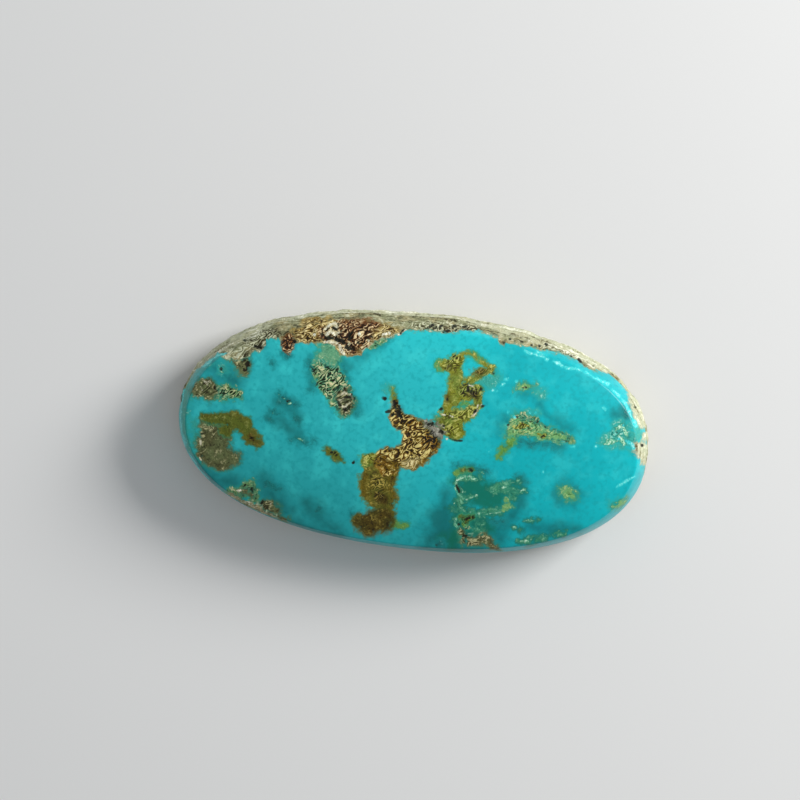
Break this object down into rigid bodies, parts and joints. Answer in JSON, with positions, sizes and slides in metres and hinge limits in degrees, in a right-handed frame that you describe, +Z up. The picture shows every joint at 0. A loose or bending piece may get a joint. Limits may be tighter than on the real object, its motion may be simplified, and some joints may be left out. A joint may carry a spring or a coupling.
{
  "type": "polished turquoise stone",
  "caption": "Oval polished turquoise stone with a low domed face, worn veins of brown and olive matrix, a raw rind of host rock along its back edge and a flat sawn underside.",
  "frame": {"origin": "on the flat sawn underside, below the middle of the oval", "axes": "+X along the oval, +Y towards the edge with the rind of host rock, +Z up out of the polished face"},
  "size_m": [0.03, 0.0152, 0.0052],
  "materials": {
    "turquoise": "waxy polish on the face, raw on the rind, sawn matt underneath"
  },
  "bodies": {
    "root": {"turquoise_stone": "turquoise"}
  },
  "joints": []
}
